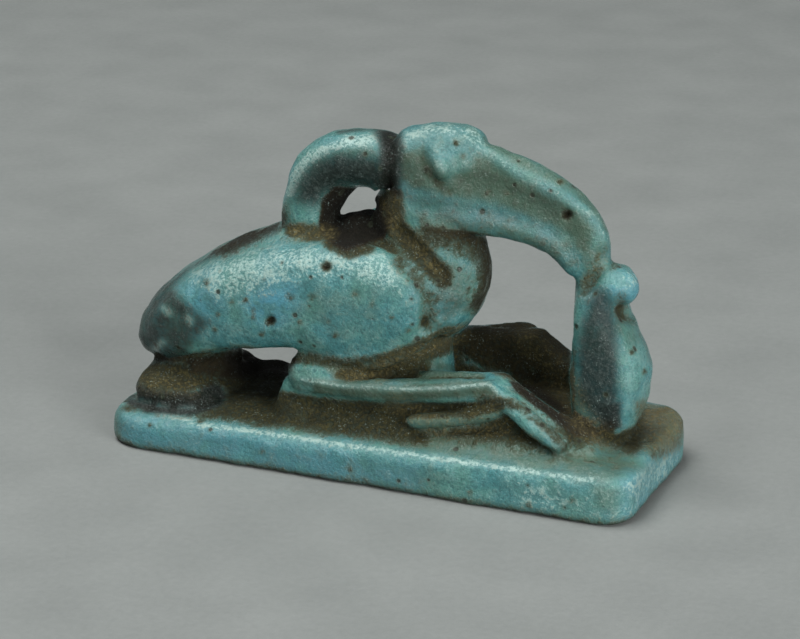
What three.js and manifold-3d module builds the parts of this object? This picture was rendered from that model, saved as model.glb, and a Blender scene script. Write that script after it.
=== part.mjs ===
// A moulded, glazed amulet: a crouching ibis on a plinth, its curved beak resting on a small squatting figure.
// It came out of its mould in one piece, so it is one solid. Millimetres, +Z up, the bird faces +X, and the
// origin is the middle of the plinth's underside.
import * as THREE from "three";
import { mergeVertices } from "three/addons/utils/BufferGeometryUtils.js";
import Module from "manifold-3d";

const wasm = await Module();
wasm.setup();

// Plinth
const plinthLength = 39.8;
const plinthWidthTail = 14.2;
const plinthWidthFront = 15.9;
const plinthThicknessTail = 2.3;
const plinthThicknessFront = 3.5;
const plinthCrown = 1.3;
const plinthEdgeRadius = 0.9;
const plinthFootRadius = 0.5;
const plinthCornerRadius = 3.2;
const plinthNearFrontCornerRadius = 2.2;
const plinthMargin = 0.8;

// Hanging loop
const loopHoleLength = 4.3;
const loopHoleHeight = 3.2;
const loopBarThickness = 3.6;
const loopBarWidth = 4.5;

// The bird and the small figure keep their proportions: every number in their stations is a hundredth of the
// length from the tail to the small figure's back, with heights counted from the plinth's upper edge.
const figureLength = plinthLength - 2 * plinthMargin;
const hundredth = figureLength / 100;
const farLegRise = 2.1;

const carved = (stations) => stations.map((station) => station.map((value) => value * hundredth));

function plinthEdgeHeight(x) {
  return THREE.MathUtils.lerp(plinthThicknessTail, plinthThicknessFront, x / plinthLength + 0.5);
}

function squared(value, square) {
  return Math.sign(value) * Math.abs(value) ** (2 / square);
}

function solidOf(geometry) {
  const bare = geometry.clone();
  bare.deleteAttribute("normal");
  bare.deleteAttribute("uv");
  const merged = mergeVertices(bare);
  return new wasm.Manifold(
    new wasm.Mesh({
      numProp: 3,
      vertProperties: merged.attributes.position.array,
      triVerts: new Uint32Array(merged.index.array),
    }),
  );
}

// A sphere drawn out along a spine. Each station is [x, y, z, half width, half height], z above the plinth's edge.
// endShares are the shares of the spine that the two round ends take, and square above 2 flattens the sides.
function drawnOut(stations, { around, along, endShares = [0.1, 0.1], square = 2 }) {
  const spine = new THREE.CatmullRomCurve3(stations.map(([x, y, z]) => new THREE.Vector3(x, y, z)));
  const sizes = new THREE.CatmullRomCurve3(
    stations.map(([, , , halfWidth, halfHeight]) => new THREE.Vector3(halfWidth, halfHeight, 0)),
  );
  const skin = new THREE.SphereGeometry(1, around, along);
  const across = new THREE.Vector3(0, 1, 0);
  const point = new THREE.Vector3();
  for (let ring = 0; ring <= along; ring++) {
    const share = (1 - Math.cos((Math.PI * ring) / along)) / 2;
    const forward = spine.getTangent(share);
    const up = new THREE.Vector3().crossVectors(forward, across).normalize();
    const side = new THREE.Vector3().crossVectors(forward, up);
    const size = sizes.getPoint(share);
    const intoEnd = 1 - Math.min(share / endShares[0], (1 - share) / endShares[1], 1);
    const roundness = Math.sqrt(1 - intoEnd ** 2);
    for (let step = 0; step <= around; step++) {
      const turn = (2 * Math.PI * (step % around)) / around;
      spine.getPoint(share, point);
      point.addScaledVector(side, size.x * roundness * squared(Math.cos(turn), square));
      point.addScaledVector(up, size.y * roundness * squared(Math.sin(turn), square));
      const height = point.z + plinthEdgeHeight(point.x);
      skin.attributes.position.setXYZ(ring * (around + 1) + step, point.x, point.y, height);
    }
  }
  return solidOf(skin);
}

function mirrored(stations, rise = 0) {
  return stations.map(([x, y, z, halfWidth, halfHeight]) => [x, -y, z + rise, halfWidth, halfHeight]);
}

// The same form on the near side and on the far side
function bothSides(stations, options, farRise = 0) {
  return [drawnOut(carved(stations), options), drawnOut(carved(mirrored(stations, farRise)), options)];
}

// The plinth's outline in plan, drawn in from its edge by inset
function plinthOutline(inset) {
  const stepsPerCorner = 5;
  const corners = [
    { endX: -1, sideY: -1, width: plinthWidthTail, radius: plinthCornerRadius },
    { endX: 1, sideY: -1, width: plinthWidthFront, radius: plinthNearFrontCornerRadius },
    { endX: 1, sideY: 1, width: plinthWidthFront, radius: plinthCornerRadius },
    { endX: -1, sideY: 1, width: plinthWidthTail, radius: plinthCornerRadius },
  ];
  return corners.flatMap(({ endX, sideY, width, radius }, corner) =>
    Array.from({ length: stepsPerCorner + 1 }, (_, step) => {
      const turn = Math.PI + (corner + step / stepsPerCorner) * (Math.PI / 2);
      return new THREE.Vector2(
        endX * (plinthLength / 2 - radius) + (radius - inset) * Math.cos(turn),
        sideY * (width / 2 - radius) + (radius - inset) * Math.sin(turn),
      );
    }),
  );
}

// Rounds the plinth's lower and upper edges and crowns its top, ring by ring from the underside up
function plinthRings() {
  const edgeSteps = 3;
  const edgeTurns = Array.from({ length: edgeSteps + 1 }, (_, step) => ((step / edgeSteps) * Math.PI) / 2);
  const foot = edgeTurns.map((turn) => ({
    inset: plinthFootRadius * (1 - Math.sin(turn)),
    scale: 1,
    height: () => plinthFootRadius * (1 - Math.cos(turn)),
  }));
  const edge = edgeTurns.map((turn) => ({
    inset: plinthEdgeRadius * (1 - Math.cos(turn)),
    scale: 1,
    height: (edgeHeight) => edgeHeight - plinthEdgeRadius * (1 - Math.sin(turn)),
  }));
  const crown = [0.9, 0.75, 0.55, 0.25].map((scale) => ({
    inset: plinthEdgeRadius,
    scale,
    height: (edgeHeight) => edgeHeight + plinthCrown * (1 - scale ** 2),
  }));
  return [...foot, ...edge, ...crown];
}

function plinth() {
  const rings = plinthRings().map((ring) => ({ ...ring, outline: plinthOutline(ring.inset) }));
  const around = rings[0].outline.length;
  const profile = Array.from({ length: rings.length + 2 }, (_, row) => new THREE.Vector2(1, row));
  const topRow = profile.length - 1;
  const skin = new THREE.LatheGeometry(profile, around);
  const place = skin.attributes.position;
  for (let step = 0; step <= around; step++) {
    for (let row = 1; row < topRow; row++) {
      const { outline, scale, height } = rings[row - 1];
      const { x, y } = outline[step % around];
      place.setXYZ(step * profile.length + row, x * scale, y * scale, height(plinthEdgeHeight(x * scale)));
    }
    place.setXYZ(step * profile.length, 0, 0, 0);
    place.setXYZ(step * profile.length + topRow, 0, 0, plinthEdgeHeight(0) + plinthCrown);
  }
  return solidOf(skin);
}

// The ground swells under the tail and along the legs
function ground() {
  const tailPad = drawnOut(
    carved([
      [-49.2, 0, 1.2, 11.5, 3.4],
      [-45, 0, 2.1, 13.1, 4.5],
      [-38.2, 0, 1.9, 13.6, 4.5],
      [-29.8, 0, 0.6, 12, 2.6],
    ]),
    { around: 16, along: 10, endShares: [0.2, 0.2], square: 2.4 },
  );
  const tailRest = drawnOut(
    carved([
      [-48.7, 0, 3.3, 6.3, 3.1],
      [-43.5, 0, 5.2, 8.9, 3.7],
      [-37.2, 0, 6.1, 9.4, 4.5],
      [-31.9, 0, 4.9, 8.4, 3.7],
    ]),
    { around: 14, along: 8, endShares: [0.25, 0.3] },
  );
  const underLegs = drawnOut(
    carved([
      [-22.5, 0, -0.1, 12, 3.1],
      [-15.7, 0, 0.7, 14.1, 5.8],
      [5.2, 0, 0.1, 15.4, 5.8],
      [26.2, 0, 0, 16, 5.8],
      [45, 0, -0.6, 14.1, 4.2],
    ]),
    { around: 16, along: 12, endShares: [0.16, 0.16], square: 2.2 },
  );
  return [tailPad, tailRest, underLegs];
}

function trunk() {
  const back = drawnOut(
    carved([
      [-47.1, 0, 6.4, 5.8, 3.9],
      [-45.5, 0, 12.1, 8.9, 5.5],
      [-37.7, 0, 18.2, 11.5, 7.6],
      [-26.2, 0, 22, 12.6, 10.7],
      [-14.4, 0, 24, 13.1, 11.8],
      [-3.9, 0, 24.5, 12.8, 11.3],
      [5.2, 0, 25.2, 11.3, 9.9],
      [10.5, 0, 25.6, 8.4, 7.3],
    ]),
    { around: 22, along: 20, endShares: [0.1, 0.14] },
  );
  const wings = bothSides(
    [
      [-47.1, -3.7, 9.5, 4.5, 4.2],
      [-38.7, -6.5, 15.8, 5.8, 6.5],
      [-27.5, -8.4, 21.2, 6, 8.6],
      [-15.7, -8.9, 23.8, 6, 9.9],
      [-3.9, -8.9, 24.5, 6, 10.5],
      [5.2, -8.4, 25.2, 5.8, 8.1],
      [12, -7.9, 24.8, 5, 4.7],
    ],
    { around: 18, along: 18, endShares: [0.12, 0.14], square: 2.7 },
  );
  const neckAndChest = drawnOut(
    carved([
      [4.2, 0, 44.1, 5.8, 8.4],
      [6.5, 0, 38, 6.8, 10.2],
      [8.1, 0, 32.5, 9.2, 9.9],
      [7.9, 0, 27.3, 11, 10.7],
      [5.5, 0, 22.1, 11.3, 10.2],
      [2.4, 0, 16.9, 10.5, 8.9],
    ]),
    { around: 20, along: 16, endShares: [0.12, 0.3] },
  );
  const belly = drawnOut(
    carved([
      [-7.3, 0, 18.3, 10.5, 4.7],
      [-2.4, 0, 12.4, 9.4, 13.1],
      [-2.4, 0, 4.5, 9.4, 14.1],
      [-2.4, 0, 0.9, 8.9, 13.1],
    ]),
    { around: 16, along: 10, endShares: [0.2, 0.2], square: 2.6 },
  );
  return [back, ...wings, neckAndChest, belly];
}

function headAndBeak() {
  const head = drawnOut(
    carved([
      [0.5, 0, 46.3, 5.2, 6.8],
      [4.2, 0, 46.7, 6.5, 8.4],
      [8.9, 0, 46.9, 6.5, 9],
      [12.8, 0, 46.7, 6, 9],
      [16.5, 0, 45.6, 5.2, 7.9],
    ]),
    { around: 18, along: 14, endShares: [0.16, 0.16], square: 2.5 },
  );
  const eyes = bothSides(
    [
      [10.2, -5.2, 48.9, 1.8, 1.8],
      [12, -5.5, 48.9, 2.2, 2.2],
      [13.6, -5.2, 48.8, 1.6, 1.8],
    ],
    { around: 10, along: 6, endShares: [0.45, 0.45] },
  );
  const beak = drawnOut(
    carved([
      [6.8, 0, 45.1, 3.9, 7.3],
      [14.1, 0, 45.4, 3.9, 7.9],
      [22.5, 0, 44.1, 3.9, 7.3],
      [29.8, 0, 41.8, 3.9, 6.4],
      [35.1, 0, 38.2, 3.7, 5.2],
      [37.7, 0, 33.7, 3.4, 3.8],
      [37.7, 0, 29, 3.1, 2.6],
      [36.9, 0, 23.2, 2.9, 2],
      [36.4, 0, 17, 2.6, 1.6],
      [36.6, 0, 11.7, 2.1, 1.3],
    ]),
    { around: 16, along: 26, endShares: [0.08, 0.06], square: 2.4 },
  );
  const lowerRidges = bothSides(
    [
      [1, -3.9, 42.1, 2.4, 2.6],
      [9.4, -3.8, 39.8, 2.2, 2.6],
      [19.4, -2.9, 38.9, 2.2, 2.4],
      [28.3, -2.5, 37.4, 2.1, 2.2],
      [33.5, -2.4, 34.6, 2, 2.1],
      [36.1, -2.1, 30.3, 1.8, 1.6],
    ],
    { around: 10, along: 16 },
  );
  return [head, ...eyes, beak, ...lowerRidges];
}

// A bar that rises from the back, arches over its hole and runs into the back of the head
function hangingLoop() {
  const holeMiddle = -6 * hundredth;
  const backHeight = 35.8 * hundredth;
  const rootDepth = loopBarThickness * 0.8;
  const archWidth = (loopHoleLength + loopBarThickness) / 2;
  const archHeight = loopHoleHeight + loopBarThickness / 2;
  const archSquare = 2.5;
  const archEnd = 0.24 * Math.PI;
  const archSteps = 6;
  const bar = [loopBarWidth / 2, loopBarThickness / 2];
  const arch = Array.from({ length: archSteps + 1 }, (_, step) => {
    const turn = THREE.MathUtils.lerp(Math.PI, archEnd, step / archSteps);
    return [
      holeMiddle + archWidth * squared(Math.cos(turn), archSquare),
      0,
      backHeight + archHeight * squared(Math.sin(turn), archSquare),
      ...bar,
    ];
  });
  return drawnOut([[holeMiddle - archWidth, 0, backHeight - rootDepth, ...bar], ...arch], {
    around: 16,
    along: 20,
    square: 2.6,
  });
}

// The squatting figure, its head a plain ball at the upper front, leaning against the beak's tip
function smallFigure() {
  const trunkAndKnees = drawnOut(
    carved([
      [41.1, 0, 0.1, 6.5, 5],
      [41.6, 0, 5.3, 7.6, 6.3],
      [42.1, 0, 12.1, 7.9, 7.2],
      [40.8, 0, 18.4, 7.3, 5.8],
      [39.8, 0, 23.7, 6.8, 4.3],
      [39.8, 0, 30.5, 5.5, 3.7],
    ]),
    { around: 18, along: 16, square: 2.6 },
  );
  const ballHead = drawnOut(
    carved([
      [38.7, 0, 28.7, 4.2, 3.9],
      [42.4, 0, 28.3, 5.2, 4.3],
      [46.6, 0, 27.7, 3.9, 3.7],
    ]),
    { around: 14, along: 10, endShares: [0.3, 0.5] },
  );
  return [trunkAndKnees, ballHead];
}

// The mass of one folded leg, between the channel under the belly and the ridge of the foot
function legMass(side, rise) {
  const heelToToe = [
    [-18.8, 4.5],
    [-17, 8.9],
    [-5.2, 9.6],
    [2.6, 10.1],
    [10.5, 12.2],
    [18.3, 12.5],
    [25.1, 13.1],
    [29.8, 9.6],
    [35.1, 6.5],
    [40.8, 3.5],
    [43.5, 1.6],
  ];
  const ground = -1;
  const heel = -20.4;
  const toe = 43.5;
  const innerFace = 6.5;
  const outerFace = 12.8;
  const bevel = 1.6;
  const profile = new THREE.Shape();
  profile.moveTo(heel, ground);
  heelToToe.forEach(([x, z]) => profile.lineTo(x, z + rise));
  profile.lineTo(toe, ground);
  const mass = new THREE.ExtrudeGeometry(profile, {
    depth: outerFace - innerFace - 2 * bevel,
    bevelThickness: bevel,
    bevelSize: bevel,
    bevelOffset: -bevel,
    bevelSegments: 2,
  });
  mass.rotateX(Math.PI / 2);
  mass.translate(0, side < 0 ? -innerFace - bevel : outerFace - bevel, 0);
  mass.scale(hundredth, hundredth, hundredth);
  const place = mass.attributes.position;
  for (let i = 0; i < place.count; i++) place.setZ(i, place.getZ(i) + plinthEdgeHeight(place.getX(i)));
  return solidOf(mass);
}

function legs() {
  const feet = bothSides(
    [
      [-15.4, -11.5, 9.1, 2.6, 2.9],
      [-9.9, -12.3, 9.1, 2.4, 2.6],
      [-1.3, -12.6, 8.7, 2, 2],
      [11.8, -12.8, 9.6, 2, 2.1],
      [24.1, -13.1, 11.3, 2, 2.5],
    ],
    { around: 10, along: 14, endShares: [0.1, 0.06] },
    farLegRise,
  );
  const shanks = bothSides(
    [
      [-16.2, -11, 9.7, 3.1, 3.1],
      [-8.9, -11, 11.3, 3.4, 2.9],
      [1, -10.2, 14.4, 2.9, 2.9],
      [11, -8.9, 19.8, 2.9, 3.1],
    ],
    { around: 10, along: 10, endShares: [0.2, 0.2] },
  );
  const hindToes = bothSides(
    [
      [26.2, -13.1, 8.4, 1.8, 1.8],
      [17.8, -13.9, 5.7, 1.8, 1.6],
      [7.9, -14.4, 4, 1.6, 1.3],
    ],
    { around: 10, along: 10 },
  );
  const outerToes = bothSides(
    [
      [22.5, -12.6, 12.1, 1.8, 1.8],
      [27.7, -13.1, 9.1, 2, 1.8],
      [33.5, -14.1, 5, 2, 1.7],
      [39, -14.9, 2, 1.6, 1.3],
    ],
    { around: 10, along: 10 },
  );
  return [legMass(-1, 0), legMass(1, farLegRise), ...feet, ...shanks, ...hindToes, ...outerToes];
}

function meshOf(name, solid, material) {
  const { vertProperties, triVerts } = solid.getMesh();
  const geometry = new THREE.BufferGeometry();
  geometry.setAttribute("position", new THREE.BufferAttribute(vertProperties, 3));
  geometry.setIndex(new THREE.BufferAttribute(triVerts, 1));
  geometry.computeVertexNormals();
  const mesh = new THREE.Mesh(geometry, material);
  mesh.name = name;
  return mesh;
}

const forms = [
  plinth(),
  ...ground(),
  ...trunk(),
  ...headAndBeak(),
  hangingLoop(),
  ...smallFigure(),
  ...legs(),
];
const whole = forms.reduce((joined, form) => joined.add(form));
const turquoiseGlaze = new THREE.MeshStandardMaterial({ color: 0x5f9ea3, roughness: 0.35, metalness: 0 });

const amulet = new THREE.Group();
amulet.add(meshOf("ibis_amulet", whole, turquoiseGlaze));
export default amulet;
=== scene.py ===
"""A glazed amulet: a crouching ibis on a plinth, with its beak on a small squatting figure.

Metres, +Z up, and the bird faces +X. The relief is carved in millimetres on a fine skin that takes its
form from the CAD solid.
"""

import math

import bpy
import numpy as np
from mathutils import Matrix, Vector
from mathutils.bvhtree import BVHTree


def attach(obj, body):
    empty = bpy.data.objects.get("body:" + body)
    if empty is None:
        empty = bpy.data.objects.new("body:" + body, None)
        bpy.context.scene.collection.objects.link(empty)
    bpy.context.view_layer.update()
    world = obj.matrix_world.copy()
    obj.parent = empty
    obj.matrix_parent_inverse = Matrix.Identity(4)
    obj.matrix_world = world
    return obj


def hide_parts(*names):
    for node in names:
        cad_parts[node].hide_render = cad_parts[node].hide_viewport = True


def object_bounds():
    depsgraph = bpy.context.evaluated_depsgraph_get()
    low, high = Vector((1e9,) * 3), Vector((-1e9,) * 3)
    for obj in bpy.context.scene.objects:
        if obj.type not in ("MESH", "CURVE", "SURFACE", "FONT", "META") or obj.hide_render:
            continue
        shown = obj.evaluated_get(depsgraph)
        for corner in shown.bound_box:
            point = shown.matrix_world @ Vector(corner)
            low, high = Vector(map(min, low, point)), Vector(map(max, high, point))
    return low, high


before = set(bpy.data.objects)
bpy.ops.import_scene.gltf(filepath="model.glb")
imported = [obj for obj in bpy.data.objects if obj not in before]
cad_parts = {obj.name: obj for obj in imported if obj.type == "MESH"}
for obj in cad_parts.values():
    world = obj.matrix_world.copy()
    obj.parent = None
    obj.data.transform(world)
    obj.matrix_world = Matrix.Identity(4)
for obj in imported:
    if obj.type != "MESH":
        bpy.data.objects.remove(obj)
cad_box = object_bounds()

MM = 0.001
SKIN_GRAIN = 0.2
FAR_AWAY = 1e6

# The photograph's camera. Points on the photograph are pixels of its 800 x 639 frame.
PHOTO_MIDDLE = (400.0, 319.5)
PIXELS_PER_UNIT = 3000.0
PIXELS_PER_MM = 14.2
CAMERA_DISTANCE = 209.8
AZIMUTH = math.radians(22.0)
ELEVATION = math.radians(19.58)
AIM = np.array([0.51, 0.0, 9.78])
BACKWARD = np.array(
    [
        math.sin(AZIMUTH) * math.cos(ELEVATION),
        -math.cos(AZIMUTH) * math.cos(ELEVATION),
        math.sin(ELEVATION),
    ]
)
RIGHTWARD = np.array([math.cos(AZIMUTH), math.sin(AZIMUTH), 0.0])
UPWARD = np.cross(BACKWARD, RIGHTWARD)
EYE = AIM + CAMERA_DISTANCE * BACKWARD
OTHER_SIDE = np.array([1.0, -1.0, 1.0])
LIT_SPOT = Vector((0.0, 0.0, 0.01))

# Bubbles that burst in the firing, on the photograph.
BEAK_PIT = (567, 215)
DEEP_PITS = [(326, 267), (270, 321)]
WING_PITS = [(290, 298), (311, 298), (205, 283), (355, 294)]

# The reach of a line that is all blur.
HAIRLINE = 0.0001


def only(piece):
    """Selects one object and nothing else."""
    bpy.ops.object.select_all(action="DESELECT")
    piece.select_set(True)
    bpy.context.view_layer.objects.active = piece


def stand_camera():
    """A long lens at the place that the photograph was taken from."""
    bpy.ops.object.camera_add(location=EYE * MM)
    camera = bpy.context.object
    camera.name = "photograph_camera"
    camera.rotation_euler = Vector(BACKWARD).to_track_quat("Z", "Y").to_euler()
    camera.data.sensor_width = 36.0
    camera.data.lens = 135.0
    camera.data.clip_start = 0.01
    bpy.context.scene.camera = camera


def pixels(places):
    """Where points in millimetres fall on the photograph."""
    away = places - EYE
    depth = -away @ BACKWARD
    across = PHOTO_MIDDLE[0] + PIXELS_PER_UNIT * (away @ RIGHTWARD) / depth
    down = PHOTO_MIDDLE[1] - PIXELS_PER_UNIT * (away @ UPWARD) / depth
    return np.stack([across, down], axis=1)


def eased(share):
    """From 0 to 1 with a soft start and end."""
    share = np.clip(share, 0.0, 1.0)
    return share * share * (3.0 - 2.0 * share)


def soft(distance, reach):
    """1 at no distance, falling softly to 0 at the reach."""
    return eased(1.0 - distance / reach)


class Skin:
    """The amulet's surface while it is carved, stained and painted with shade and highlights, in
    millimetres.
    """

    def __init__(self, piece):
        self.mesh = piece.data
        count = len(self.mesh.vertices)
        edges = np.empty(len(self.mesh.edges) * 2, np.int32)
        self.mesh.edges.foreach_get("vertices", edges)
        edges = edges.reshape(-1, 2)
        self.one_end = np.concatenate([edges[:, 0], edges[:, 1]])
        self.other_end = np.concatenate([edges[:, 1], edges[:, 0]])
        self.neighbours = np.maximum(np.bincount(self.one_end, minlength=count), 1)
        self.faces = [tuple(face.vertices) for face in self.mesh.polygons]
        self.read()
        self.layers = {}

    def read(self):
        count = len(self.mesh.vertices)
        places = np.empty(count * 3, np.float32)
        self.mesh.vertices.foreach_get("co", places)
        self.places = places.reshape(-1, 3).astype(float) / MM
        self.look()

    def look(self):
        """Takes the normals and the tree of faces afresh."""
        self.mesh.vertices.foreach_set("co", (self.places * MM).astype(np.float32).ravel())
        self.mesh.update()
        normals = np.empty(len(self.mesh.vertices) * 3, np.float32)
        self.mesh.vertex_normals.foreach_get("vector", normals)
        self.outward = normals.reshape(-1, 3).astype(float)
        self.tree = BVHTree.FromPolygons(self.places.tolist(), self.faces)

    def averaged(self, values, times, share=0.5):
        """Values smoothed over neighbouring points."""
        values = values.copy()
        for _ in range(times):
            if values.ndim == 1:
                near = np.bincount(self.one_end, values[self.other_end], len(values)) / self.neighbours
            else:
                near = np.stack(
                    [
                        np.bincount(self.one_end, values[self.other_end, axis], len(values))
                        for axis in range(3)
                    ],
                    axis=1,
                ) / self.neighbours[:, None]
            values += share * (near - values)
        return values

    def even_out(self, times):
        """Rounds off steps and facets without shrinking the form."""
        in_step = 0.65
        out_step = -0.67
        for _ in range(times):
            self.places = self.averaged(self.places, 1, in_step)
            self.places = self.averaged(self.places, 1, out_step)

    def rub(self, outline, times, blur):
        """Rubs an outlined part of the side in the photograph smooth, so that its valleys fill."""
        where = drawn(pixels(self.places), outline, 0.0, blur) * (self.outward @ BACKWARD > 0.0)
        where = self.averaged(where, 6)
        rubbed = self.averaged(self.places, times)
        self.places = self.places + (rubbed - self.places) * where[:, None]

    def seen(self, spot):
        """The point of the skin under a spot: a pixel of the photograph, or a place in millimetres."""
        if len(spot) == 3:
            return np.array(self.tree.find_nearest(Vector(spot))[0])
        ray = -BACKWARD + RIGHTWARD * (spot[0] - PHOTO_MIDDLE[0]) / PIXELS_PER_UNIT
        ray = ray + UPWARD * (PHOTO_MIDDLE[1] - spot[1]) / PIXELS_PER_UNIT
        found = self.tree.ray_cast(Vector(EYE), Vector(ray).normalized())[0]
        return None if found is None else np.array(found)

    def trail(self, path):
        """Short steps along a line drawn on the photograph or in space, dropped onto the skin."""
        pixel_step = 5.0
        space_step = 0.35
        points = []
        for start, end in zip(path, path[1:]):
            step_length = pixel_step if len(start) == 2 else space_step
            steps = max(1, round(math.dist(start, end) / step_length))
            for step in range(steps):
                spot = [a + (b - a) * step / steps for a, b in zip(start, end)]
                points.append(self.seen(spot))
        points.append(self.seen(path[-1]))
        return points

    def beside(self, path, reach):
        """Distance of each point of the skin from a trail, out to the reach."""
        longest_step = 2.0
        points = [point for point in self.trail(path) if point is not None]
        nearest = np.full(len(self.places), FAR_AWAY)
        if not points:
            return nearest
        if len(points) == 1:
            points = points * 2
        low = np.min(points, axis=0) - reach
        high = np.max(points, axis=0) + reach
        close = np.flatnonzero(np.all((self.places > low) & (self.places < high), axis=1))
        here = self.places[close]
        shortest = np.full(len(close), FAR_AWAY)
        for start, end in zip(points, points[1:]):
            run = end - start
            if run @ run > longest_step**2:
                continue
            share = np.clip((here - start) @ run / max(run @ run, 1e-9), 0.0, 1.0)
            gap = np.linalg.norm(here - start - share[:, None] * run, axis=1)
            shortest = np.minimum(shortest, gap)
        nearest[close] = shortest
        return nearest

    def cut(self, path, reach, depth):
        """A groove along a trail; a negative depth raises a ridge."""
        down = depth * soft(self.beside(path, reach), reach)
        self.places = self.places - self.outward * down[:, None]

    def push(self, spot, reach, move):
        """Moves the skin round a spot, as a thumb moves clay."""
        centre = self.seen(spot)
        if centre is None:
            return
        gap = np.linalg.norm(self.places - centre, axis=1)
        self.places = self.places + soft(gap, reach)[:, None] * np.array(move)

    def nudge(self, spot, reach, right, up):
        """Moves the skin at a spot on the photograph across or up, but not on the far side."""
        goes_back_to = 3.2
        fades_over = 1.8
        gap = np.linalg.norm(pixels(self.places) - np.array(spot), axis=1) / PIXELS_PER_MM
        share = soft(gap, reach) * np.clip((goes_back_to - self.places[:, 1]) / fades_over, 0.0, 1.0)
        self.places = self.places + share[:, None] * (RIGHTWARD * right + UPWARD * up)

    def look_from_photograph(self):
        """Which points the photograph shows, and where they fall on it."""
        full_on = 0.3
        fades_over = 0.35
        off_skin = 0.12
        other_side_strength = 0.6
        self.on_photo = pixels(self.places)
        self.on_photo_mirrored = pixels(self.places * OTHER_SIDE)
        facing = soft(full_on - self.outward @ BACKWARD, fades_over)
        facing_mirrored = soft(full_on - (self.outward * OTHER_SIDE) @ BACKWARD, fades_over)
        shown = np.zeros(len(self.places))
        for index in np.flatnonzero(facing > 0.0):
            place = self.places[index] + self.outward[index] * off_skin
            ray = Vector(EYE - place)
            if self.tree.ray_cast(Vector(place), ray.normalized(), ray.length)[0] is None:
                shown[index] = 1.0
        self.shown = self.averaged(shown, 3) * facing
        hidden = np.clip(1.0 - 2.0 * self.averaged(shown, 6), 0.0, 1.0)
        self.far = facing_mirrored * hidden * (self.places[:, 1] > -1.0) * other_side_strength

    def paint_layer(self, layer, amount, paths, blur, reach=0.0, depth=None):
        """Colours an outline filled on the photograph, or with a reach a line drawn on it.

        With a depth the colour goes through to there. Without one it also goes, fainter, on the same
        place of the other side. A negative amount takes that share of the layer away.
        """
        fades_over = 0.8
        total = np.zeros(len(self.places))
        if depth is None:
            views = [(self.on_photo, self.shown), (self.on_photo_mirrored, self.far)]
        else:
            views = [(self.on_photo, np.clip((depth - self.places[:, 1]) / fades_over, 0.0, 1.0))]
        for spots, mask in views:
            for path in paths:
                total = np.maximum(total, mask * drawn(spots, path, reach, blur))
        held = self.layers.get(layer, np.zeros(len(self.places)))
        if amount < 0.0:
            self.layers[layer] = held * (1.0 + amount * total)
        else:
            self.layers[layer] = np.maximum(held, amount * total)


def drawn(spots, path, reach, blur):
    """How strongly a filled outline, or a line with a reach, covers spots on the photograph."""
    path = np.array(path, float)
    closed = reach == 0.0
    ends = np.roll(path, -1, axis=0) if closed else path[1:]
    starts = path if closed else path[:-1]
    if len(path) == 1:
        starts = ends = path
    margin = PIXELS_PER_MM * (reach + blur) + 1.0
    low = path.min(axis=0) - margin
    high = path.max(axis=0) + margin
    close = np.flatnonzero(np.all((spots > low) & (spots < high), axis=1))
    here = spots[close]
    gap = np.full(len(close), FAR_AWAY)
    inside = np.zeros(len(close), bool)
    for start, end in zip(starts, ends):
        run = end - start
        share = np.clip((here - start) @ run / max(run @ run, 1e-9), 0.0, 1.0)
        gap = np.minimum(gap, np.linalg.norm(here - start - share[:, None] * run, axis=1))
        if closed and start[1] != end[1]:
            crossing = (start[1] > here[:, 1]) != (end[1] > here[:, 1])
            at = start[0] + (here[:, 1] - start[1]) * run[0] / (end[1] - start[1])
            inside ^= crossing & (here[:, 0] < at)
    gap = gap / PIXELS_PER_MM
    strength = np.zeros(len(spots))
    if closed:
        strength[close] = eased(np.where(inside, gap, -gap) / blur + 0.5)
    else:
        strength[close] = eased((reach + blur - gap) / blur)
    return strength


def fine_skin():
    """The amulet's skin, from a copy of the solid's mesh, fine enough to carve."""
    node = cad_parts["ibis_amulet"]
    bpy.ops.object.select_all(action="DESELECT")
    amulet = bpy.data.objects.new("ibis_glazed", node.data.copy())
    bpy.context.scene.collection.objects.link(amulet)
    only(amulet)
    bpy.ops.object.mode_set(mode="EDIT")
    bpy.ops.mesh.select_all(action="SELECT")
    bpy.ops.mesh.remove_doubles(threshold=1e-6)
    bpy.ops.object.mode_set(mode="OBJECT")
    remesh = amulet.modifiers.new("skin", "REMESH")
    remesh.mode = "VOXEL"
    remesh.voxel_size = SKIN_GRAIN * MM
    bpy.ops.object.modifier_apply(modifier=remesh.name)
    return amulet


def uneven(amulet, name, size, strength, middle):
    """Slight swells and dips over the whole skin, as pressed paste has under its glaze."""
    clouds = bpy.data.textures.new(name, "CLOUDS")
    clouds.noise_scale = size * MM
    clouds.noise_depth = 1
    swell = amulet.modifiers.new(name, "DISPLACE")
    swell.texture = clouds
    swell.texture_coords = "LOCAL"
    swell.mid_level = middle
    swell.strength = strength * MM
    only(amulet)
    bpy.ops.object.modifier_apply(modifier=swell.name)


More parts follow.
